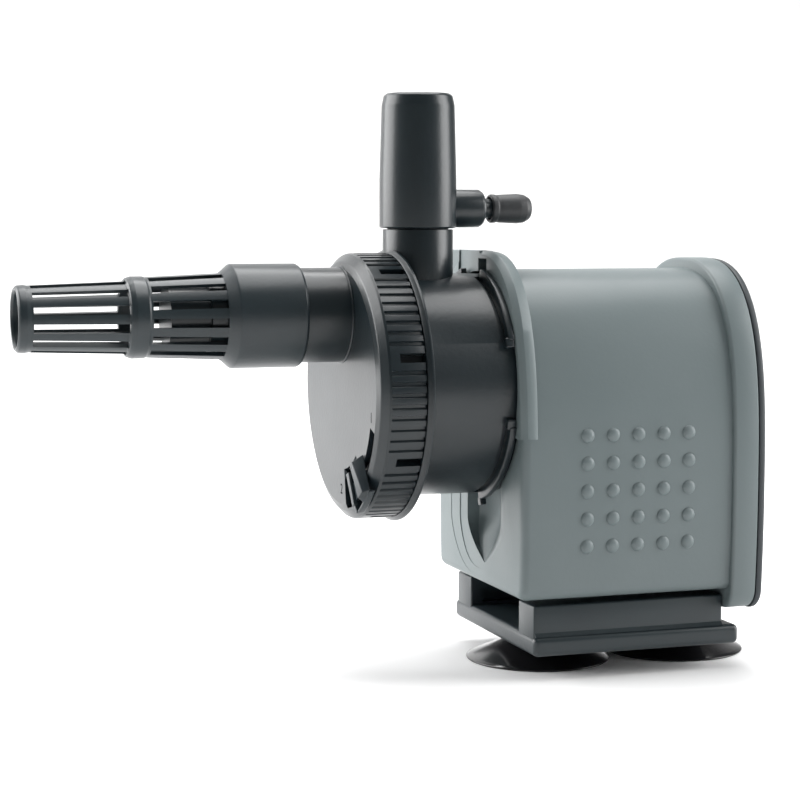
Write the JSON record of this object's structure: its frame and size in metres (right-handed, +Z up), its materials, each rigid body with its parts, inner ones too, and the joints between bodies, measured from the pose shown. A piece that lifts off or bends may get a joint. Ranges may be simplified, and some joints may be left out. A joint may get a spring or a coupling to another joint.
{
  "type": "submersible aquarium pump",
  "caption": "Submersible aquarium circulation pump with a slotted strainer inlet, flow regulator, swivelling outlet with an air valve, and a base on suction cups.",
  "frame": {"origin": "middle of the footprint's bounding box, on the plane the suction cups stand on", "axes": "+Z up along the outlet pipe, -X towards the strainer's tip, +X towards the rear cover, X along the pump's axis"},
  "size_m": [0.2238, 0.0796, 0.1693],
  "materials": {
    "grey_plastic": "satin",
    "charcoal_plastic": "satin",
    "dark_grey_plastic": "satin",
    "black_rubber": "satin",
    "cup_rubber": "gloss",
    "laminated_steel": "satin",
    "copper_winding": "enamelled",
    "ferrite": "matt",
    "ceramic_shaft": "polished",
    "potting_resin": "satin",
    "natural_nylon": "matt",
    "white_plastic": "satin"
  },
  "bodies": {
    "base": {"base_plate": "charcoal_plastic", "suction_cup_front": "cup_rubber", "suction_cup_rear": "cup_rubber"},
    "motor": {"motor_housing": "grey_plastic", "rear_cover": "dark_grey_plastic", "rear_gasket": "black_rubber", "potting_resin": "potting_resin", "cord_gland": "black_rubber", "stator_core": "laminated_steel", "bobbin_near": "natural_nylon", "coil_near": "copper_winding", "bobbin_far": "natural_nylon", "coil_far": "copper_winding", "rotor_shaft": "ceramic_shaft", "rear_shaft_seat": "black_rubber"},
    "rotor": {"rotor_magnet": "ferrite", "impeller": "white_plastic"},
    "chamber": {"pump_chamber": "charcoal_plastic", "chamber_o_ring": "black_rubber", "cap_o_ring": "black_rubber"},
    "cap": {"front_cap": "charcoal_plastic", "front_shaft_seat": "black_rubber"},
    "regulator": {"flow_regulator": "charcoal_plastic"},
    "strainer": {"strainer_basket": "charcoal_plastic"},
    "coupler": {"outlet_coupler": "charcoal_plastic"},
    "air_cap": {"air_valve_cap": "black_rubber"}
  },
  "joints": [
    {"name": "base_slide", "type": "slide", "parent": "base", "child": "motor", "axis": [1, 0, 0], "range_m": [0, 0.056]},
    {"name": "rotor_spin", "type": "hinge", "parent": "motor", "child": "rotor", "pos_m": [0.0255, 0, 0.0843], "axis": [1, 0, 0], "continuous": true},
    {"name": "chamber_twist", "type": "hinge", "parent": "motor", "child": "chamber", "pos_m": [0.0255, 0, 0.0843], "axis": [1, 0, 0], "range_deg": [0, 20]},
    {"name": "cap_twist", "type": "hinge", "parent": "chamber", "child": "cap", "pos_m": [0.0255, 0, 0.0843], "axis": [1, 0, 0], "range_deg": [0, 15]},
    {"name": "regulator_turn", "type": "hinge", "parent": "cap", "child": "regulator", "pos_m": [0.0255, 0, 0.0843], "axis": [-1, 0, 0], "range_deg": [-13, 27]},
    {"name": "strainer_pull", "type": "slide", "parent": "cap", "child": "strainer", "axis": [-1, 0, 0], "range_m": [0, 0.03]},
    {"name": "outlet_swivel", "type": "hinge", "parent": "chamber", "child": "coupler", "pos_m": [0.006, 0, 0.0843], "axis": [0, 0, 1], "range_deg": [-180, 180]},
    {"name": "air_cap_pull", "type": "slide", "parent": "coupler", "child": "air_cap", "axis": [1, 0, 0], "range_m": [0, 0.012]}
  ]
}
